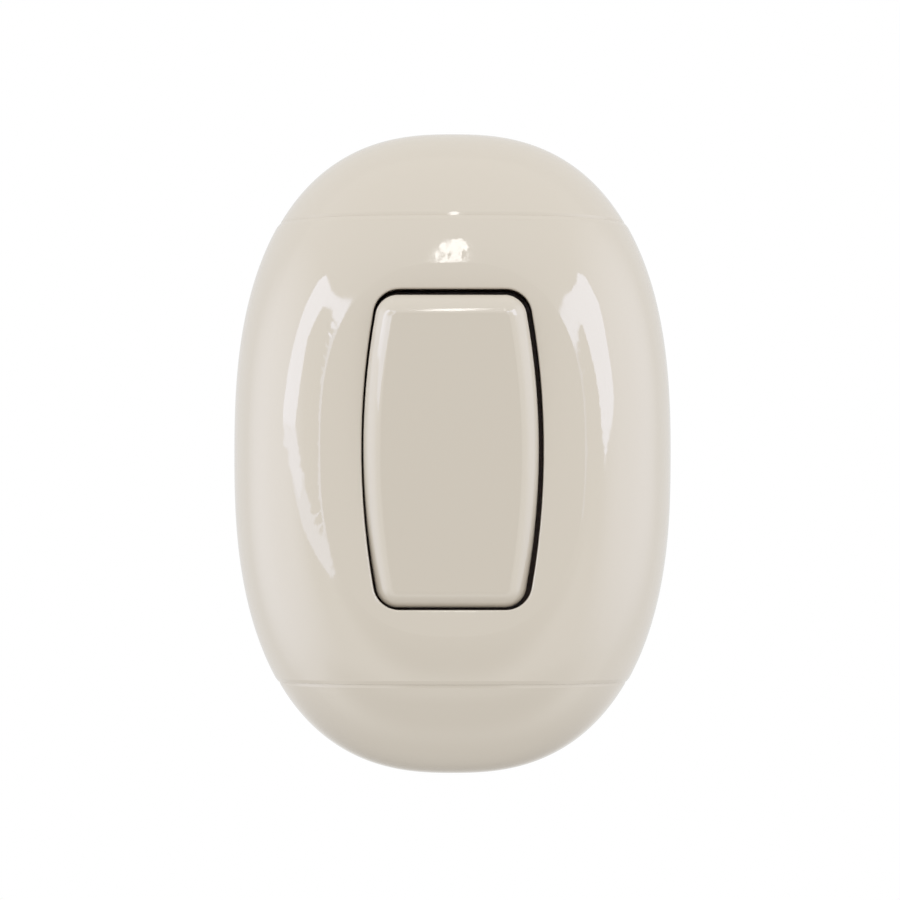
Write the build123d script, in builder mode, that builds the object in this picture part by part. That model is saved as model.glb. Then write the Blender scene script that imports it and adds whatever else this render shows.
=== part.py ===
"""Surface-mounted single-pole light switch with an oval cover and one rocker.

Millimetres, +Z up. The wall is the plane Y = 0 and the switch stands out from it towards -Y.
The origin is the middle of the back of the base plate. Depths are measured from the wall.
The rocker is drawn as it rests: its top end stands out and its bottom end is pressed in.
"""

from build123d import *
import math
import os

os.makedirs("parts", exist_ok=True)

# Outer form
rim_width = 61.3
rim_height = 90.0
rim_squareness = 2.5
flat_side_margin = 5.6
flat_end_margin = 3.6
flat_squareness = 2.6
skirt_depth = 4.5
front_depth = 21.5
outline_points = 32
dome_sections = 7

# Walls and gaps of the cover and its end caps
cover_wall = 2.0
cover_foot = 0.3
cavity_foot = -1.0
cap_wall = 1.6
cap_set_back = 0.12
cap_clearance = 0.15
shelf_wall = 1.6
seam_height = 32.0
seam_gap = 0.01
seam_groove_depth = 0.1
seam_groove_half_width = 0.5
edge_tolerance = 0.001

# Window for the rocker
window_width = 24.8
window_height = 43.7
window_bulge = 2.2
window_corner_radius = 3.6
window_edge_radius = 0.25

# Rocker
rocker_side_gap = 0.45
rocker_end_gap = 0.55
rocker_side_play = 0.2
rocker_stand_out = 1.9
rocker_tilt = 5.0
rocker_length = 8.0
rocker_wall = 1.6
rocker_face_wall = 1.8
rocker_edge_radius = 2.4
rocker_rib_wall = 1.2
rocker_rib_length = 3.0
pivot_depth = 17.5
trunnion_radius = 1.5
trunnion_clearance = 0.05
trunnion_tip = 0.1

# Plunger and its spring, in a tube behind the rocker
tube_wall = 1.2
tube_reach = 4.0
plunger_radius = 1.5
plunger_clearance = 0.08
plunger_reach = 6.8
plunger_shoulder = 1.0
spring_pin_radius = 0.75
spring_pin_length = 2.0
spring_wire_radius = 0.2
spring_mean_radius = 1.15
spring_turns = 5
spring_end_gap = 0.05

# Seesaw contact
blade_tilt = 8.5
blade_wall = 0.7
blade_width = 4.4
blade_contact_arm = 10.2
blade_contact_end = 1.5
blade_free_arm = 9.0
blade_clearance = 0.1
saddle_radius = 0.8
saddle_wall = 0.8
fulcrum_clearance = 0.08
contact_radius = 1.6
contact_head = 0.7
contact_dome_radius = 4.0
contact_stem_radius = 0.8
contact_upset_radius = 1.1
contact_upset = 0.3
contact_clearance = 0.1
stem_clearance = 0.02

# Terminals
strip_wall = 0.8
strip_width = 4.4
strip_slot_clearance = 0.2
strip_slot_overrun = 1.0
terminal_offset = 18.5
block_size = 6.4
block_height = 6.0
block_chamfer = 0.5
wire_hole_radius = 1.6
wire_hole_height = 2.6
terminal_screw_radius = 1.2
terminal_screw_head_radius = 2.2
terminal_screw_head = 1.6
terminal_screw_stand_off = 0.2
terminal_screw_length = 3.0
thread_clearance = 0.05

# Mechanism frame
frame_floor = 1.6
frame_corner_radius = 2.0
box_side_margin = 1.5
box_height = 34.0
well_side_margin = 1.0
well_height = 28.0
stop_clearance = 0.28
ear_wall = 1.8
ear_gap = 0.15
ear_radius = 2.8
platform_side_margin = 1.8
platform_end_margin = 2.1
platform_rim_wall = 1.2
platform_rim = 3.5
surround_wall = 1.3
surround_clearance = 0.1
surround_floor = 1.2
surround_drop = 0.35
cover_clearance = 0.2
mechanism_screw_height = 11.0
mechanism_screw_radius = 1.4
mechanism_screw_head_radius = 2.6
mechanism_screw_head = 1.8
mechanism_screw_length = 4.8
screw_hole_clearance = 0.2

# Base plate
base_wall = 2.4
base_clearance = 0.25
base_rim_wall = 1.4
base_rim = 3.2
pad_radius = 3.4
blind_floor = 1.0
wall_screw_spacing = 60.0
wall_screw_radius = 2.25
cable_window_width = 18.0
cable_window_height = 6.5
cable_window_gap = 1.55
cable_window_radius = 2.0

# Screws that hold the cover
cover_screw_spacing = 74.0
cover_screw_radius = 1.45
cover_screw_head_radius = 2.75
cover_screw_head = 1.8
cover_screw_length = 9.0
cover_boss_radius = 4.2
cover_boss_start = 8.0
cover_boss_seat = 2.4
head_recess_clearance = 0.25
pillar_radius = 3.0
pillar_gap = 0.2

# Clips of the end caps
clip_offset = 11.0
clip_height = 36.2
clip_width = 3.2
clip_wall = 1.3
clip_clearance = 0.2
clip_start = 11.5

# Screw heads and tips
driver_slot_width = 0.7
driver_slot_depth = 0.7
screw_head_round = 0.4
screw_tip_chamfer = 0.5

# Sizes that follow from the ones above
half_rim_width = rim_width / 2
half_rim_height = rim_height / 2
half_flat_width = window_width / 2 + flat_side_margin
half_flat_height = window_height / 2 + flat_end_margin
dome_rise = front_depth - skirt_depth
rocker_face_over_pivot = front_depth + rocker_stand_out - pivot_depth
rocker_half_width = window_width / 2 - rocker_side_gap
rocker_half_height = window_height / 2 - rocker_end_gap
rocker_corner_radius = window_corner_radius - rocker_end_gap
rocker_underside = rocker_face_over_pivot - rocker_face_wall
trunnion_length = ear_gap + 2 * rocker_side_play + ear_wall + trunnion_tip
ear_outside = rocker_half_width - rocker_wall - rocker_side_play - ear_gap
box_width = 2 * (ear_outside + box_side_margin)
well_width = 2 * (ear_outside - ear_wall - well_side_margin)
platform_width = 2 * (terminal_offset + block_size / 2 + platform_side_margin)
platform_height = 2 * (mechanism_screw_height + pad_radius + platform_end_margin)
cable_window_centre = box_height / 2 + cable_window_gap + cable_window_height / 2
bore_radius = plunger_radius + plunger_clearance
shelf_inset = cap_set_back + cap_wall + cap_clearance
base_inset = shelf_inset + shelf_wall + base_clearance
blade_top = saddle_radius + blade_wall
fulcrum_depth = pivot_depth - plunger_reach - blade_clearance - blade_top
fulcrum_radius = saddle_radius - fulcrum_clearance

# How deep the pressed end of the rocker reaches, over the end of the frame's box and at its own end
tilt = math.radians(rocker_tilt)
rocker_back = pivot_depth + (rocker_face_over_pivot - rocker_length) * math.cos(tilt)
box_depth = rocker_back - box_height / 2 * math.sin(tilt) - stop_clearance
surround_start = rocker_back - rocker_half_height * math.sin(tilt) - surround_drop - surround_floor

# Where the two domed contacts meet when the blade tips the other way
blade_lean = math.radians(blade_tilt)
contact_face = saddle_radius - contact_head
dome_centre = contact_face + contact_dome_radius
contact_height = blade_contact_arm * math.cos(blade_lean) + dome_centre * math.sin(blade_lean)
contact_sink = contact_dome_radius + blade_contact_arm * math.sin(blade_lean)
contact_sink = contact_sink - dome_centre * math.cos(blade_lean)
strip_front = fulcrum_depth - contact_sink - contact_clearance - contact_head
strip_back = strip_front - strip_wall
frame_back = strip_back - frame_floor

# Planes. The front plane lies on the wall and faces the room, with its Y axis up.
front = Plane(origin=(0, 0, 0), x_dir=(1, 0, 0), z_dir=(0, -1, 0))
side_section = Plane(origin=(0, 0, 0), x_dir=(0, 0, 1), z_dir=(1, 0, 0))
rocker_plane = Plane(
    origin=(-rocker_side_play, -pivot_depth, 0),
    x_dir=(1, 0, 0),
    z_dir=(0, -math.cos(tilt), -math.sin(tilt)),
)
rocker_axis = Axis(rocker_plane.origin, rocker_plane.z_dir)
blade_plane = Plane(
    origin=(0, -fulcrum_depth, 0),
    x_dir=(1, 0, 0),
    z_dir=(0, -math.cos(blade_lean), math.sin(blade_lean)),
)


def section_along(origin, direction):
    """Plane through a point with its X axis to the right and its Y axis along a direction."""
    return Plane(origin=origin, x_dir=(1, 0, 0), z_dir=(0, -direction.Z, direction.Y))


def oval(half_width, half_height, squareness):
    """Superellipse: squareness 2 is an ellipse, and more is squarer."""
    points = []
    for step in range(outline_points):
        angle = 2 * math.pi * step / outline_points
        along = math.cos(angle)
        up = math.sin(angle)
        reach = (abs(along) ** squareness + abs(up) ** squareness) ** (-1 / squareness)
        points.append((half_width * along * reach, half_height * up * reach))
    with BuildSketch() as outline:
        with BuildLine():
            Spline(*points, periodic=True)
        make_face()
    return outline.sketch


def rim_oval(inset):
    """Outline at the wall, set in by a wall thickness."""
    return oval(half_rim_width - inset, half_rim_height - inset, rim_squareness)


def dome(inset, foot=cover_foot):
    """Solid under the outer skin, set in by a wall: a straight skirt and a quarter-ellipse crown."""
    side_run = half_rim_width - half_flat_width - inset
    end_run = half_rim_height - half_flat_height - inset
    with BuildPart() as body:
        with BuildSketch(front.offset(foot)):
            add(rim_oval(inset))
        extrude(amount=skirt_depth - foot)
        for section in range(dome_sections + 1):
            angle = math.pi / 2 * section / dome_sections
            outward = math.cos(angle)
            depth = skirt_depth + (dome_rise - inset) * math.sin(angle)
            squareness = flat_squareness + (rim_squareness - flat_squareness) * outward
            half_width = half_flat_width + side_run * outward
            half_height = half_flat_height + end_run * outward
            with BuildSketch(front.offset(depth)):
                add(oval(half_width, half_height, squareness))
        loft()
    return body.part


def barrel(half_width, half_height, corner_radius):
    """Barrel outline: straight ends, gently bowed sides and round corners."""
    end = half_width - window_bulge
    with BuildSketch() as outline:
        with BuildLine():
            ThreePointArc((end, -half_height), (half_width, 0), (end, half_height))
            Line((end, half_height), (-end, half_height))
            ThreePointArc((-end, half_height), (-half_width, 0), (-end, -half_height))
            Line((-end, -half_height), (end, -half_height))
        make_face()
        fillet(outline.vertices(), corner_radius)
    return outline.sketch


def window(grow):
    """Outline of the rocker's window, grown by a wall thickness."""
    return barrel(window_width / 2 + grow, window_height / 2 + grow, window_corner_radius + grow)


def seam_edge(part, height):
    """Edge between the crown and a cut at a seam. A chamfer runs on from it down the skirt."""
    on_cut = part.edges().filter_by_position(Axis.Z, height - edge_tolerance, height + edge_tolerance)
    return on_cut.sort_by(Axis.Y)[0]


def crown_face(part):
    """Curved face of the dome in front of its straight skirt."""
    return part.faces().filter_by(GeomType.BSPLINE).sort_by(SortBy.AREA)[-1]


# Skins at the depths of the walls, shared by the cover and its end caps
outer_skin = dome(0)
cover_cavity = dome(cover_wall, foot=cavity_foot)
shelf_skin = dome(shelf_inset)
shelf_cavity = dome(shelf_inset + shelf_wall, foot=cavity_foot)
cap_skin = dome(cap_set_back)
cap_cavity = dome(cap_set_back + cap_wall, foot=cavity_foot)
clip_skin = dome(cap_set_back + cap_wall / 2)

screw_places = [(0, cover_screw_spacing / 2), (0, -cover_screw_spacing / 2)]
clip_places = [
    (side * clip_offset, end * clip_height) for side in (-1, 1) for end in (-1, 1)
]

# Front cover: the visible middle, the two shelves under the end caps, and the window
middle_half = seam_height - seam_gap / 2
with BuildPart() as cover_middle:
    add(outer_skin)
    split(bisect_by=Plane.XY.offset(middle_half), keep=Keep.BOTTOM)
    split(bisect_by=Plane.XY.offset(-middle_half), keep=Keep.TOP)
    for height in (middle_half, -middle_half):
        chamfer(
            seam_edge(cover_middle, height),
            seam_groove_half_width,
            seam_groove_depth,
            reference=crown_face(cover_middle),
        )

with BuildPart() as cover_hollow:
    add(cover_cavity)
    split(bisect_by=Plane.XY.offset(middle_half - cover_wall), keep=Keep.BOTTOM)
    split(bisect_by=Plane.XY.offset(-middle_half + cover_wall), keep=Keep.TOP)
    add(shelf_cavity)

with BuildPart() as cover_bosses:
    with BuildSketch(front.offset(cover_boss_start)):
        with Locations(*screw_places):
            Circle(cover_boss_radius)
    extrude(amount=front_depth)
    add(shelf_skin, mode=Mode.INTERSECT)

with BuildPart() as front_cover:
    add(cover_middle.part)
    add(shelf_skin)
    add(cover_hollow.part, mode=Mode.SUBTRACT)
    add(cover_bosses.part)
    with BuildSketch(front):
        add(window(0))
    extrude(amount=front_depth, mode=Mode.SUBTRACT)
    window_edges = front_cover.edges(Select.LAST).group_by(Axis.Y)[0]
    fillet(window_edges, window_edge_radius)
    with BuildSketch(front):
        with Locations(*screw_places):
            Circle(cover_screw_radius + screw_hole_clearance)
    extrude(amount=front_depth, mode=Mode.SUBTRACT)
    with BuildSketch(front.offset(cover_boss_start + cover_boss_seat)):
        with Locations(*screw_places):
            Circle(cover_screw_head_radius + head_recess_clearance)
    extrude(amount=front_depth, mode=Mode.SUBTRACT)
    with BuildSketch(front.offset(skirt_depth)):
        with Locations(*clip_places):
            Rectangle(clip_width + 2 * clip_clearance, clip_wall + 2 * clip_clearance)
    extrude(amount=front_depth, mode=Mode.SUBTRACT)
front_cover.part.label = "front_cover"
export_step(front_cover.part, "parts/front_cover.step")


def end_cap(end):
    """Shell over one end of the cover: end is 1 for the upper cap and -1 for the lower."""
    cut_height = end * (seam_height + seam_gap / 2)
    keep = Keep.TOP if end > 0 else Keep.BOTTOM
    with BuildPart() as clips:
        with BuildSketch(front.offset(clip_start)):
            with Locations((-clip_offset, end * clip_height), (clip_offset, end * clip_height)):
                Rectangle(clip_width, clip_wall)
        extrude(amount=front_depth)
        add(clip_skin, mode=Mode.INTERSECT)
    with BuildPart() as cap:
        add(cap_skin)
        split(bisect_by=Plane.XY.offset(cut_height), keep=keep)
        chamfer(
            seam_edge(cap, cut_height),
            seam_groove_half_width,
            seam_groove_depth,
            reference=crown_face(cap),
        )
        add(cap_cavity, mode=Mode.SUBTRACT)
        add(clips.part)
    return cap.part


upper_cap = end_cap(1)
upper_cap.label = "upper_end_cap"
export_step(upper_cap, "parts/upper_end_cap.step")
lower_cap = end_cap(-1)
lower_cap.label = "lower_end_cap"
export_step(lower_cap, "parts/lower_end_cap.step")


def screws(places, seat, head_radius, head_height, radius, length):
    """Group of slotted screws driven from the front, seated at a depth."""
    with BuildPart() as group:
        with BuildSketch(front.offset(seat)):
            with Locations(*places):
                Circle(head_radius)
        extrude(amount=head_height)
        fillet(group.edges().filter_by(GeomType.CIRCLE).group_by(Axis.Y)[0], screw_head_round)
        with BuildSketch(front.offset(seat)):
            with Locations(*places):
                Circle(radius)
        extrude(amount=-length)
        chamfer(group.edges().filter_by(GeomType.CIRCLE).group_by(Axis.Y)[-1], screw_tip_chamfer)
        with BuildSketch(front.offset(seat + head_height)):
            with Locations(*places):
                Rectangle(2 * head_radius, driver_slot_width)
        extrude(amount=-driver_slot_depth, mode=Mode.SUBTRACT)
    return group.part


# Base plate: tray against the wall, with pads for the frame and pillars for the cover screws
pad_places = [
    (side * terminal_offset, end * mechanism_screw_height) for side in (-1, 1) for end in (-1, 1)
]
mechanism_screw_places = [
    (terminal_offset, -mechanism_screw_height),
    (-terminal_offset, mechanism_screw_height),
]
middle_clear = middle_half - cover_wall - base_clearance
with BuildPart() as base_plate:
    with BuildSketch(front):
        add(rim_oval(cover_wall + base_clearance))
        Rectangle(rim_width, 2 * middle_clear, mode=Mode.INTERSECT)
        add(rim_oval(base_inset))
    extrude(amount=base_wall)
    with BuildSketch(front.offset(base_wall)):
        add(rim_oval(base_inset))
        add(rim_oval(base_inset + base_rim_wall), mode=Mode.SUBTRACT)
    extrude(amount=base_rim)
    with BuildSketch(front.offset(base_wall)):
        with Locations(*pad_places):
            Circle(pad_radius)
    extrude(amount=frame_back - base_wall)
    with BuildSketch(front.offset(base_wall)):
        with Locations(*screw_places):
            Circle(pillar_radius)
    extrude(amount=cover_boss_start - pillar_gap - base_wall)
    with BuildSketch(front.offset(blind_floor)):
        with Locations(*screw_places):
            Circle(cover_screw_radius + thread_clearance)
        with Locations(*mechanism_screw_places):
            Circle(mechanism_screw_radius + thread_clearance)
    extrude(amount=front_depth, mode=Mode.SUBTRACT)
    with BuildSketch(front):
        with Locations((0, wall_screw_spacing / 2), (0, -wall_screw_spacing / 2)):
            Circle(wall_screw_radius)
        with Locations((0, cable_window_centre), (0, -cable_window_centre)):
            RectangleRounded(cable_window_width, cable_window_height, cable_window_radius)
    extrude(amount=base_wall, mode=Mode.SUBTRACT)
base_plate.part.label = "base_plate"
export_step(base_plate.part, "parts/base_plate.step")

# Screws that hold the cover, hidden under the end caps
cover_screws = screws(
    screw_places,
    cover_boss_start + cover_boss_seat,
    cover_screw_head_radius,
    cover_screw_head,
    cover_screw_radius,
    cover_screw_length,
)
cover_screws.label = "cover_screws"
export_step(cover_screws, "parts/cover_screws.step")

# Mechanism frame: box with the well of the seesaw, side platforms for the terminals, ears for the
# rocker, and a tray round the rocker that closes the gap of the window
common_place = (terminal_offset, 0)
switched_place = (-terminal_offset, -contact_height)
slot_length = (box_width - well_width) / 2 + strip_slot_overrun
slot_places = [
    ((box_width + well_width) / 4, 0),
    (-(box_width + well_width) / 4, -contact_height),
]
with BuildPart() as mechanism_frame:
    with BuildSketch(front.offset(frame_back)):
        RectangleRounded(platform_width, platform_height, frame_corner_radius)
    extrude(amount=frame_floor)
    with BuildSketch(front.offset(strip_back)):
        RectangleRounded(platform_width, platform_height, frame_corner_radius)
        Rectangle(platform_width - 2 * platform_rim_wall, platform_height, mode=Mode.SUBTRACT)
    extrude(amount=platform_rim)
    with BuildSketch(front.offset(frame_back)):
        Rectangle(box_width, box_height)
    extrude(amount=box_depth - frame_back)
    with BuildSketch(front.offset(surround_start)):
        add(window(surround_clearance + surround_wall))
    extrude(amount=surround_floor)
    with BuildSketch(front.offset(surround_start + surround_floor)):
        add(window(surround_clearance + surround_wall))
        add(window(surround_clearance), mode=Mode.SUBTRACT)
    extrude(amount=front_depth - cover_wall - cover_clearance - surround_start - surround_floor)
    with BuildSketch(front.offset(strip_back)):
        RectangleRounded(well_width, well_height, frame_corner_radius)
    extrude(amount=box_depth, mode=Mode.SUBTRACT)
    for ear_start in (-ear_outside, ear_outside - ear_wall):
        with BuildSketch(side_section.offset(ear_start)):
            with Locations((0, pivot_depth)):
                Circle(ear_radius)
            with Locations((0, (pivot_depth + box_depth) / 2)):
                Rectangle(2 * ear_radius, pivot_depth - box_depth)
            with Locations((0, pivot_depth)):
                Circle(trunnion_radius + trunnion_clearance, mode=Mode.SUBTRACT)
        extrude(amount=ear_wall)
    with BuildSketch(front.offset(strip_back)):
        with Locations(*slot_places):
            Rectangle(slot_length, strip_width + 2 * strip_slot_clearance)
    extrude(amount=strip_wall + strip_slot_clearance, mode=Mode.SUBTRACT)
    with BuildSketch(front):
        with Locations(*mechanism_screw_places):
            Circle(mechanism_screw_radius + screw_hole_clearance)
    extrude(amount=front_depth, mode=Mode.SUBTRACT)
mechanism_frame.part.label = "mechanism_frame"
export_step(mechanism_frame.part, "parts/mechanism_frame.step")

mechanism_screws = screws(
    mechanism_screw_places,
    strip_back,
    mechanism_screw_head_radius,
    mechanism_screw_head,
    mechanism_screw_radius,
    mechanism_screw_length,
)
mechanism_screws.label = "mechanism_screws"
export_step(mechanism_screws, "parts/mechanism_screws.step")

# Rocker: hollow key with a tube for the plunger, two ribs and two trunnions
rocker_side = Plane(origin=rocker_plane.origin, x_dir=rocker_plane.y_dir, z_dir=(1, 0, 0))
trunnion_end = rocker_half_width - rocker_wall - trunnion_length
with BuildPart() as rocker:
    with BuildSketch(rocker_plane.offset(rocker_face_over_pivot)):
        add(barrel(rocker_half_width, rocker_half_height, rocker_corner_radius))
    extrude(amount=-rocker_length)
    fillet(rocker.faces().sort_by(rocker_axis)[-1].edges(), rocker_edge_radius)
    with BuildSketch(rocker_plane.offset(rocker_underside)):
        add(
            barrel(
                rocker_half_width - rocker_wall,
                rocker_half_height - rocker_wall,
                rocker_corner_radius - rocker_wall,
            )
        )
    extrude(amount=-rocker_length, mode=Mode.SUBTRACT)
    with BuildSketch(rocker_plane.offset(rocker_underside)):
        Rectangle(rocker_rib_wall, 2 * rocker_half_height - rocker_wall)
    extrude(amount=-rocker_rib_length)
    with BuildSketch(rocker_plane.offset(rocker_underside)):
        Circle(bore_radius + tube_wall)
    extrude(amount=-(rocker_underside + tube_reach))
    with BuildSketch(rocker_plane.offset(rocker_underside)):
        Circle(bore_radius)
    extrude(amount=-(rocker_underside + tube_reach), mode=Mode.SUBTRACT)
    for trunnion_start in (trunnion_end, -trunnion_end - trunnion_length - rocker_wall / 2):
        with BuildSketch(rocker_side.offset(trunnion_start)):
            Circle(trunnion_radius)
        extrude(amount=trunnion_length + rocker_wall / 2)
rocker.part.label = "rocker"
export_step(rocker.part, "parts/rocker.step")

# Plunger: round nose, stem in the tube, and a pin inside the spring
with BuildPart() as plunger:
    with BuildSketch(section_along(rocker_plane.origin, rocker_plane.z_dir)):
        with BuildLine():
            RadiusArc(
                (0, -plunger_reach), (plunger_radius, -plunger_reach + plunger_radius), -plunger_radius
            )
            Line((plunger_radius, -plunger_reach + plunger_radius), (plunger_radius, -plunger_shoulder))
            Line((plunger_radius, -plunger_shoulder), (spring_pin_radius, -plunger_shoulder))
            Line(
                (spring_pin_radius, -plunger_shoulder),
                (spring_pin_radius, spring_pin_length - plunger_shoulder),
            )
            Line(
                (spring_pin_radius, spring_pin_length - plunger_shoulder),
                (0, spring_pin_length - plunger_shoulder),
            )
            Line((0, spring_pin_length - plunger_shoulder), (0, -plunger_reach))
        make_face()
    revolve(axis=rocker_axis)
plunger.part.label = "plunger"
export_step(plunger.part, "parts/plunger.step")

# Spring between the plunger's shoulder and the back of the rocker's face
spring_start = -plunger_shoulder + spring_end_gap + spring_wire_radius
spring_height = rocker_underside - spring_end_gap - spring_wire_radius - spring_start
with BuildPart() as plunger_spring:
    with BuildLine() as coil:
        Helix(
            spring_height / spring_turns,
            spring_height,
            spring_mean_radius,
            center=rocker_plane.offset(spring_start).origin,
            direction=rocker_plane.z_dir,
        )
    with BuildSketch(Plane(origin=coil.line @ 0, z_dir=coil.line % 0)):
        Circle(spring_wire_radius)
    sweep(path=coil.line)
plunger_spring.part.label = "plunger_spring"
export_step(plunger_spring.part, "parts/plunger_spring.step")

# Contact blade: flat seesaw with a half-round saddle over the fulcrum
blade_section = Plane(origin=blade_plane.origin, x_dir=blade_plane.y_dir, z_dir=(1, 0, 0))
blade_end = blade_contact_arm + blade_contact_end
with BuildPart() as contact_blade:
    with BuildSketch(blade_section):
        with Locations(((blade_free_arm - blade_end) / 2, saddle_radius + blade_wall / 2)):
            Rectangle(blade_free_arm + blade_end, blade_wall)
        with Locations((0, saddle_radius / 2)):
            Rectangle(2 * (saddle_radius + saddle_wall), saddle_radius)
        Circle(saddle_radius, mode=Mode.SUBTRACT)
    extrude(amount=blade_width / 2, both=True)
    blade_corners = contact_blade.edges().filter_by(Axis(blade_plane.origin, blade_plane.z_dir))
    along_blade = Axis(blade_plane.origin, blade_plane.y_dir)
    fillet(blade_corners.sort_by(along_blade)[:2], blade_contact_end)
    fillet(blade_corners.sort_by(along_blade)[-2:], blade_contact_end)
    with BuildSketch(blade_plane):
        with Locations((0, -blade_contact_arm)):
            Circle(contact_stem_radius + stem_clearance)
    extrude(amount=2 * blade_top, mode=Mode.SUBTRACT)
contact_blade.part.label = "contact_blade"
export_step(contact_blade.part, "parts/contact_blade.step")


def rivet(apex, direction, through, upset):
    """Contact rivet with a domed head: its apex, the way its stem points, and its upset end."""
    edge = contact_dome_radius - math.sqrt(contact_dome_radius**2 - contact_radius**2)
    with BuildPart() as body:
        with BuildSketch(section_along(apex, direction)):
            with BuildLine():
                RadiusArc((0, 0), (contact_radius, edge), -contact_dome_radius)
                Line((contact_radius, edge), (contact_radius, contact_head))
                Line((contact_radius, contact_head), (0, contact_head))
                Line((0, contact_head), (0, 0))
            make_face()
        revolve(axis=Axis(apex, direction))
        with BuildSketch(Plane(origin=apex, z_dir=direction).offset(contact_head)):
            Circle(contact_stem_radius)
        extrude(amount=through)
        if upset > 0:
            with BuildSketch(Plane(origin=apex, z_dir=direction).offset(contact_head + through)):
                Circle(contact_upset_radius)
            extrude(amount=upset)
    return body.part


moving_apex = blade_plane.from_local_coords(Vector(0, -blade_contact_arm, contact_face))
moving_contact = rivet(moving_apex, blade_plane.z_dir, blade_wall, contact_upset)
moving_contact.label = "moving_contact"
export_step(moving_contact, "parts/moving_contact.step")

fixed_apex = Vector(0, -(strip_front + contact_head), -contact_height)
fixed_contact = rivet(fixed_apex, Vector(0, 1, 0), strip_wall, 0)
fixed_contact.label = "fixed_contact"
export_step(fixed_contact, "parts/fixed_contact.step")

# Terminal strips, flat on the floor of the frame
strip_length = terminal_offset + block_size / 2 + strip_width / 2
strip_centre = strip_length / 2 - strip_width / 2
with BuildPart() as common_terminal:
    with BuildSketch(front.offset(strip_back)):
        with Locations((strip_centre, 0)):
            Rectangle(strip_length, strip_width)
    extrude(amount=strip_wall)
    with BuildSketch(side_section):
        with Locations((0, fulcrum_depth)):
            Circle(fulcrum_radius)
        with Locations((0, (strip_back + fulcrum_depth) / 2)):
            Rectangle(2 * fulcrum_radius, fulcrum_depth - strip_back)
    extrude(amount=strip_width / 2, both=True)
common_terminal.part.label = "common_terminal"
export_step(common_terminal.part, "parts/common_terminal.step")

with BuildPart() as switched_terminal:
    with BuildSketch(front.offset(strip_back)):
        with Locations((-strip_centre, -contact_height)):
            Rectangle(strip_length, strip_width)
        with Locations((0, -contact_height)):
            Circle(contact_stem_radius + stem_clearance, mode=Mode.SUBTRACT)
    extrude(amount=strip_wall)
switched_terminal.part.label = "switched_terminal"
export_step(switched_terminal.part, "parts/switched_terminal.step")


def terminal_block(place):
    """Brass block on the end of a strip, with a hole for the wire and a tapped hole for its screw."""
    block_front = strip_front + block_height
    with BuildPart() as block:
        with BuildSketch(front.offset(strip_front)):
            with Locations(place):
                Rectangle(block_size, block_size)
        extrude(amount=block_height)
        chamfer(block.edges().filter_by(Axis.Y), block_chamfer)
        with BuildSketch(Plane.XY.offset(place[1] - block_size / 2)):
            with Locations((place[0], -(strip_front + wire_hole_height))):
                Circle(wire_hole_radius)
        extrude(amount=block_size, mode=Mode.SUBTRACT)
        with BuildSketch(front.offset(strip_front + wire_hole_height)):
            with Locations(place):
                Circle(terminal_screw_radius + thread_clearance)
        extrude(amount=block_front - strip_front - wire_hole_height, mode=Mode.SUBTRACT)
    return block.part


common_block = terminal_block(common_place)
common_block.label = "common_terminal_block"
export_step(common_block, "parts/common_terminal_block.step")
switched_block = terminal_block(switched_place)
switched_block.label = "switched_terminal_block"
export_step(switched_block, "parts/switched_terminal_block.step")

terminal_screws = screws(
    [common_place, switched_place],
    strip_front + block_height + terminal_screw_stand_off,
    terminal_screw_head_radius,
    terminal_screw_head,
    terminal_screw_radius,
    terminal_screw_length,
)
terminal_screws.label = "terminal_screws"
export_step(terminal_screws, "parts/terminal_screws.step")
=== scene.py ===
import math

import bpy
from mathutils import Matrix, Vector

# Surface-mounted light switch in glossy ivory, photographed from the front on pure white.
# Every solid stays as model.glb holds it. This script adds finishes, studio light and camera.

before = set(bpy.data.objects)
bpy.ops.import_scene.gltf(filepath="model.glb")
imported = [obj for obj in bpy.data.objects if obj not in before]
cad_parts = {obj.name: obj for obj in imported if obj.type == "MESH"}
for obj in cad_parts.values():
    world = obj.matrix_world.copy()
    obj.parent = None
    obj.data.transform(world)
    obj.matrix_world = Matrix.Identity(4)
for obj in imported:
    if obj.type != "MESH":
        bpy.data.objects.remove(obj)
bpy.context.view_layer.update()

MM = 0.001

# Photograph's framing: pixels of the 900 x 900 picture and the real size that they show, in mm
IMAGE_PIXELS = 900
PIXELS_PER_MM = 7.11
OUTLINE_CENTRE = (452.5, 453.0)
SKIRT_DEPTH = 4.5
CAMERA_DISTANCE = 500.0
CAMERA_ELEVATION = -1.8
SENSOR_WIDTH = 36.0

# Finishes
IVORY = "#CEC6B9"
IVORY_SATIN = "#CCC4B6"
PHENOLIC_DARK = "#573A24"
PHENOLIC_LIGHT = "#6C4A31"
ACETAL = "#E9E8E1"
SPRING_STEEL_DARK = "#8E8F92"
SPRING_STEEL_LIGHT = "#A5A6A8"
BRASS_DARK = "#B58E43"
BRASS_LIGHT = "#D2AE62"
SILVER_DARK = "#D8D7D2"
SILVER_LIGHT = "#E4E3DE"
ZINC_DARK = "#A9AFB6"
ZINC_LIGHT = "#C9CCD0"

# Part of a noise's range over which two colours blend
BLEND_RANGE = (0.35, 0.65)

# Light of the room: white of the studio, and daylight in the windows, on the walls and in the lamps
WHITE = "#FFFFFF"
WINDOW_DAY = "#E1E8FF"
WALL_DAY = "#F0F3FF"
LAMP_DAY = "#CFDCFF"

# Distances in metres: the windows, the bright walls behind them, the lamps at the sides, and the
# wall that the switch is on, which stands far back so that it cuts none of the others
ROOM = 4.0
BEHIND_WINDOWS = 1.1 * ROOM
LAMP_DISTANCE = 1.2
WALL_DISTANCE = 1.2 * ROOM
WALL_SIZE = 15 * ROOM
SHADE_DISTANCE = 0.1 * ROOM


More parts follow.
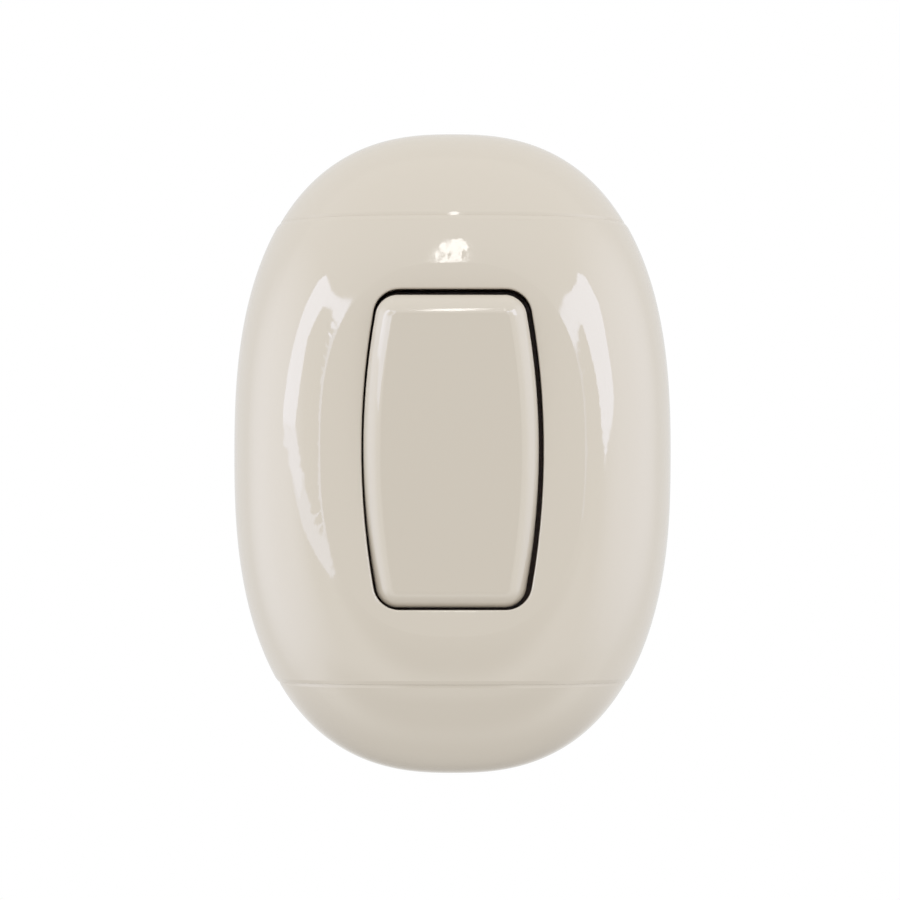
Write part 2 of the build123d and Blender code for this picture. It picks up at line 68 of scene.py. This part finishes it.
def srgb(code):
    """Linear colour of an sRGB hex value."""
    channels = [int(code[i : i + 2], 16) / 255 for i in (1, 3, 5)]
    linear = [c / 12.92 if c <= 0.04045 else ((c + 0.055) / 1.055) ** 2.4 for c in channels]
    return (*linear, 1.0)


def add_node(tree, kind, settings=None, links=None):
    """Adds a node, sets its sockets and properties, and links outputs of others to its inputs."""
    node = tree.nodes.new(kind)
    for key, value in (settings or {}).items():
        if key in node.inputs:
            node.inputs[key].default_value = value
        else:
            setattr(node, key, value)
    for key, output in (links or {}).items():
        tree.links.new(output, node.inputs[key])
    return node


def new_material(name):
    """Empty material with its output node."""
    material = bpy.data.materials.new(name)
    material.use_nodes = True
    tree = material.node_tree
    tree.nodes.clear()
    output = tree.nodes.new("ShaderNodeOutputMaterial")
    return material, tree, output


def object_coordinates(tree):
    """The object's own coordinates, in metres."""
    return add_node(tree, "ShaderNodeTexCoord").outputs["Object"]


def noise(tree, size_mm, detail=2.0, stretch=(1, 1, 1)):
    """Noise with features of a real size, stretched along an axis where its scale is under 1."""
    settings = {"Scale": stretch}
    place = add_node(tree, "ShaderNodeMapping", settings, {"Vector": object_coordinates(tree)})
    return add_node(
        tree,
        "ShaderNodeTexNoise",
        {"Scale": 1 / (size_mm * MM), "Detail": detail, "Roughness": 0.5},
        {"Vector": place.outputs["Vector"]},
    ).outputs["Fac"]


def relief(tree, height, depth_mm):
    """Surface relief of a real depth."""
    settings = {"Strength": 1.0, "Distance": depth_mm * MM}
    return add_node(tree, "ShaderNodeBump", settings, {"Height": height}).outputs["Normal"]


def blend(tree, factor, low, high):
    """Colours between two values, spread over the middle of a noise."""
    ramp = add_node(tree, "ShaderNodeValToRGB", {}, {"Fac": factor})
    for stop, place, colour in zip(ramp.color_ramp.elements, BLEND_RANGE, (low, high)):
        stop.position = place
        stop.color = srgb(colour)
    return ramp.outputs["Color"]


def surface(tree, output, settings, links):
    """Principled surface of a material."""
    shader = add_node(tree, "ShaderNodeBsdfPrincipled", settings, links)
    tree.links.new(shader.outputs["BSDF"], output.inputs["Surface"])


def glossy_ivory_moulding():
    """Polished-mould ABS: even ivory, mirror-like gloss, and a skin that waves very slightly."""
    material, tree, output = new_material("glossy_ivory_moulding")
    waves = noise(tree, size_mm=5.0)
    settings = {"Base Color": srgb(IVORY), "Roughness": 0.04, "IOR": 1.6}
    surface(tree, output, settings, {"Normal": relief(tree, waves, depth_mm=0.0003)})
    return material


def satin_ivory_moulding():
    """Base of the same plastic from an unpolished mould: the colour without the gloss."""
    material, tree, output = new_material("satin_ivory_moulding")
    grain = noise(tree, size_mm=0.25)
    settings = {"Base Color": srgb(IVORY_SATIN), "Roughness": 0.48, "IOR": 1.52}
    surface(tree, output, settings, {"Normal": relief(tree, grain, depth_mm=0.01)})
    return material


def brown_phenolic():
    """Filled phenolic moulding: dark brown with paler flecks of filler, half matt."""
    material, tree, output = new_material("brown_phenolic")
    flecks = noise(tree, size_mm=0.35, detail=4.0)
    links = {
        "Base Color": blend(tree, flecks, PHENOLIC_DARK, PHENOLIC_LIGHT),
        "Normal": relief(tree, flecks, depth_mm=0.006),
    }
    surface(tree, output, {"Roughness": 0.42, "IOR": 1.6}, links)
    return material


def white_acetal():
    """Acetal: milky, a little translucent and waxy."""
    material, tree, output = new_material("white_acetal")
    grain = noise(tree, size_mm=0.4)
    settings = {
        "Base Color": srgb(ACETAL),
        "Roughness": 0.32,
        "IOR": 1.48,
        "Subsurface Weight": 0.2,
        "Subsurface Scale": 0.5 * MM,
    }
    surface(tree, output, settings, {"Normal": relief(tree, grain, depth_mm=0.004)})
    return material


def metal(name, low, high, roughness, size_mm, depth_mm, stretch=(1, 1, 1)):
    """Bare metal whose tone and relief vary together."""
    material, tree, output = new_material(name)
    marks = noise(tree, size_mm, detail=3.0, stretch=stretch)
    links = {
        "Base Color": blend(tree, marks, low, high),
        "Normal": relief(tree, marks, depth_mm),
    }
    surface(tree, output, {"Metallic": 1.0, "Roughness": roughness}, links)
    return material


def drawn_spring_wire():
    """Grey wire with the fine scratches of the drawing die."""
    return metal(
        "drawn_spring_wire",
        SPRING_STEEL_DARK,
        SPRING_STEEL_LIGHT,
        roughness=0.3,
        size_mm=0.15,
        depth_mm=0.002,
    )


def rolled_brass():
    """Yellow brass strip with faint streaks along the rolling direction."""
    return metal(
        "rolled_brass",
        BRASS_DARK,
        BRASS_LIGHT,
        roughness=0.3,
        size_mm=0.6,
        depth_mm=0.002,
        stretch=(0.12, 1, 1),
    )


def silver_alloy():
    """White contact metal, nearly polished."""
    return metal(
        "silver_alloy", SILVER_DARK, SILVER_LIGHT, roughness=0.2, size_mm=0.5, depth_mm=0.001
    )


def bright_zinc_plating():
    """Bluish plating with a cloudy passivated bloom."""
    return metal(
        "bright_zinc_plating", ZINC_DARK, ZINC_LIGHT, roughness=0.34, size_mm=1.2, depth_mm=0.003
    )


glossy = glossy_ivory_moulding()
satin = satin_ivory_moulding()
brass = rolled_brass()
silver = silver_alloy()
zinc = bright_zinc_plating()
finishes = {
    "front_cover": glossy,
    "upper_end_cap": glossy,
    "lower_end_cap": glossy,
    "rocker": glossy,
    "base_plate": satin,
    "mechanism_frame": brown_phenolic(),
    "plunger": white_acetal(),
    "plunger_spring": drawn_spring_wire(),
    "contact_blade": brass,
    "common_terminal": brass,
    "switched_terminal": brass,
    "common_terminal_block": brass,
    "switched_terminal_block": brass,
    "moving_contact": silver,
    "fixed_contact": silver,
    "cover_screws": zinc,
    "mechanism_screws": zinc,
    "terminal_screws": zinc,
}
for node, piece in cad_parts.items():
    for place in range(len(piece.data.materials)):
        piece.data.materials[place] = finishes[node]

# World: white for what the camera and reflections see, and a plain level of soft light
SURROUNDINGS = 0.985
world = bpy.data.worlds.new("white_studio")
bpy.context.scene.world = world
world.use_nodes = True
world_tree = world.node_tree
world_tree.nodes.clear()
soft_light, backdrop = [
    add_node(world_tree, "ShaderNodeBackground", {"Color": srgb(WHITE), "Strength": strength})
    for strength in (SURROUNDINGS, 1.0)
]
path = add_node(world_tree, "ShaderNodeLightPath")
seen = path.outputs["Is Camera Ray"]
for kind in ("Is Glossy Ray", "Is Transmission Ray"):
    either = add_node(world_tree, "ShaderNodeMath", {"operation": "MAXIMUM"})
    world_tree.links.new(seen, either.inputs[0])
    world_tree.links.new(path.outputs[kind], either.inputs[1])
    seen = either.outputs["Value"]
mix = add_node(world_tree, "ShaderNodeMixShader", {}, {"Fac": seen})
world_tree.links.new(soft_light.outputs["Background"], mix.inputs[1])
world_tree.links.new(backdrop.outputs["Background"], mix.inputs[2])
add_node(world_tree, "ShaderNodeOutputWorld", {}, {"Surface": mix.outputs["Shader"]})


def away_from_switch(azimuth, elevation):
    """Direction from the switch: azimuth 0 is in front of it and grows to the right."""
    a = math.radians(azimuth)
    e = math.radians(elevation)
    return Vector((math.sin(a) * math.cos(e), -math.cos(a) * math.cos(e), math.sin(e)))


def softbox(name, azimuth, elevation, distance, size, radiance, turn=0, colour=WHITE):
    """Rectangular lamp that faces the switch. turn leans its long side, as the switch sees it."""
    light = bpy.data.lights.new(name, "AREA")
    light.shape = "RECTANGLE"
    light.size, light.size_y = size
    light.energy = math.pi * light.size * light.size_y * radiance
    light.color = srgb(colour)[:3]
    lamp = bpy.data.objects.new(name, light)
    bpy.context.scene.collection.objects.link(lamp)
    away = away_from_switch(azimuth, elevation)
    lamp.location = distance * away
    lamp.rotation_euler = away.to_track_quat("Z", "Y").to_euler()
    lamp.rotation_euler.rotate_axis("Z", math.radians(turn))
    return lamp


def place_beside(azimuth, elevation, toward):
    """Point in a direction, on the plane that faces the switch from the direction toward."""
    along = away_from_switch(azimuth, elevation)
    return along * ROOM / along.dot(toward)


def emitter(name, colour, radiance):
    """Evenly bright surface."""
    material, tree, output = new_material(name)
    settings = {"Color": srgb(colour), "Strength": radiance}
    glow = add_node(tree, "ShaderNodeEmission", settings)
    tree.links.new(glow.outputs["Emission"], output.inputs["Surface"])
    return material


def only_in_gloss(piece):
    """Keeps a stage piece out of the picture and of the soft light: only the gloss mirrors it."""
    piece.visible_camera = False
    piece.visible_diffuse = False
    piece.visible_transmission = False
    piece.visible_shadow = False


def window_light(name, outline, radiance):
    """Window with an outline of azimuths and elevations, as the switch sees it."""
    middle = away_from_switch(*(sum(angles) / len(angles) for angles in zip(*outline)))
    corners = [place_beside(*corner, middle) for corner in outline]
    mesh = bpy.data.meshes.new(name)
    mesh.from_pydata(corners, [], [range(len(corners))])
    mesh.materials.append(emitter(name, WINDOW_DAY, radiance))
    pane = bpy.data.objects.new(name, mesh)
    bpy.context.scene.collection.objects.link(pane)
    only_in_gloss(pane)


def soft_patch(name, azimuth, elevation, spread, radiance, distance=ROOM, colour=WHITE):
    """Part of the room with a faded edge. White is 1, so 0 is a dark part and 2 a bright one.

    spread is its width and height in degrees, as the switch sees it.
    """
    away = away_from_switch(azimuth, elevation)
    turn = away.to_track_quat("Z", "Y").to_euler()
    bpy.ops.mesh.primitive_plane_add(size=2, location=distance * away, rotation=turn)
    card = bpy.context.object
    card.name = name
    card.scale = (*(distance * math.tan(math.radians(angle / 2)) for angle in spread), 1)
    material, tree, output = new_material(name)
    links = {"Vector": object_coordinates(tree)}
    middle = add_node(tree, "ShaderNodeTexGradient", {"gradient_type": "SPHERICAL"}, links)
    # The gradient is 1 in the middle and 0 at the rim. The patch is full from 0.8 of it on.
    fade = add_node(
        tree,
        "ShaderNodeMapRange",
        {"interpolation_type": "SMOOTHSTEP", "From Max": 0.8},
        {"Value": middle.outputs["Fac"]},
    )
    clear = add_node(tree, "ShaderNodeBsdfTransparent")
    glow = add_node(tree, "ShaderNodeEmission", {"Color": srgb(colour), "Strength": radiance})
    mixed = add_node(tree, "ShaderNodeMixShader", {}, {"Fac": fade.outputs["Result"]})
    tree.links.new(clear.outputs["BSDF"], mixed.inputs[1])
    tree.links.new(glow.outputs["Emission"], mixed.inputs[2])
    tree.links.new(mixed.outputs["Shader"], output.inputs["Surface"])
    card.data.materials.append(material)
    only_in_gloss(card)


# Daylight: a window at each side, whose lintel and sill run on towards the camera
LEFT_WINDOW = [
    (-64, 2.7), (-65, 4), (-61, 8.5), (-56, 14), (-51, 20), (-44.5, 25), (-39, 25.5), (-25, 17.6),
    (-6, 7.6), (-6, 5.2), (-20, 13), (-28, 15.4), (-37.5, 12), (-37.5, 8), (-41, 4.5), (-44, 2.9),
]
LEFT_LEDGE = [(-63.8, 2.6), (-44, 2.8), (-37, 1.6), (-31, 0.6), (-38, -1.4), (-50, 0.6)]
LEFT_SILL = [
    (-49, 0.3), (-38, -1.5), (-30.8, 0.5), (-22, -0.8), (-14, -1.5), (-7, -0.5),
    (-8, -3), (-13, -5), (-23, -6), (-37, -4),
]
LEFT_CURTAIN = [(-8.5, 6), (-3, 6), (-3, -1), (-8.5, -1)]
RIGHT_WINDOW = [
    (6, 6.6), (18, 14.8), (32, 21.5), (38, 26), (45, 26), (51.5, 20), (50.5, 12), (52.5, 5.5),
    (47, 3), (41, 1.9), (36, 1.2), (31, 2.6), (27, 5.5), (22, 10.5), (19.5, 10.8), (5.5, 3.6),
]
RIGHT_CURTAIN = [(3, 5), (8, 5), (8, 0), (3, 0)]
window_light("left_window", LEFT_WINDOW, radiance=5.2)
window_light("left_ledge", LEFT_LEDGE, radiance=4.4)
window_light("left_sill", LEFT_SILL, radiance=3.4)
window_light("right_window", RIGHT_WINDOW, radiance=5.0)
window_light("left_curtain", LEFT_CURTAIN, radiance=3.0)
window_light("right_curtain", RIGHT_CURTAIN, radiance=2.0)

# Tube lamp behind the camera, the one lamp that the gloss mirrors
softbox("tube_lamp", 0.06, 14.5, ROOM, size=(0.06, 1.05), radiance=8.0, turn=-1.6)

# Soft light from the walls at both sides and from the ceiling
side = {"distance": LAMP_DISTANCE, "size": (1.0, 1.4), "colour": LAMP_DAY}
left_wall = softbox("left_wall", -98, 0, radiance=0.62, **side)
right_wall = softbox("right_wall", 98, 0, radiance=0.52, **side)
ceiling = softbox("ceiling", 0, 60, LAMP_DISTANCE, size=(1.0, 0.7), radiance=1.0)
for lamp in (left_wall, right_wall, ceiling):
    lamp.visible_glossy = False

# Wall behind the switch, a little greyer than the white beside it
upright = (math.pi / 2, 0, 0)
bpy.ops.mesh.primitive_plane_add(size=WALL_SIZE, location=(0, WALL_DISTANCE, 0), rotation=upright)
wall = bpy.context.object
wall.name = "wall"
wall.data.materials.append(emitter("wall", WHITE, radiance=0.82))
only_in_gloss(wall)

# Bright ends of the room at both sides
bright = {"spread": (104, 90), "distance": BEHIND_WINDOWS, "colour": WALL_DAY}
soft_patch("left_room", -78, -5, radiance=2.3, **bright)
soft_patch("right_room", 78, 5, radiance=2.0, **bright)

# Dark things that the lower half mirrors: the camera's stand, the floor and the shade on the wall
soft_patch("camera_stand", 0, -16, spread=(35, 50), radiance=0.0)
soft_patch("floor", 0, -62, spread=(100, 60), radiance=0.0)
soft_patch("shade_on_wall", 180, -66, spread=(110, 100), radiance=0.0, distance=SHADE_DISTANCE)

# Camera, aimed so that the outline's middle falls where the photograph has it
camera_data = bpy.data.cameras.new("camera")
camera = bpy.data.objects.new("camera", camera_data)
bpy.context.scene.collection.objects.link(camera)
bpy.context.scene.camera = camera
frame_width = IMAGE_PIXELS / PIXELS_PER_MM
camera_data.sensor_width = SENSOR_WIDTH
camera_data.lens = SENSOR_WIDTH * CAMERA_DISTANCE / frame_width
camera_data.clip_start = 10 * MM
aim = Vector(
    (
        (IMAGE_PIXELS / 2 - OUTLINE_CENTRE[0]) / PIXELS_PER_MM,
        -SKIRT_DEPTH,
        (OUTLINE_CENTRE[1] - IMAGE_PIXELS / 2) / PIXELS_PER_MM,
    )
)
tilt = math.radians(CAMERA_ELEVATION)
back = Vector((0, -math.cos(tilt), math.sin(tilt)))
camera.location = (aim + back * CAMERA_DISTANCE) * MM
camera.rotation_euler = back.to_track_quat("Z", "Y").to_euler()

bpy.context.scene.view_settings.view_transform = "Standard"
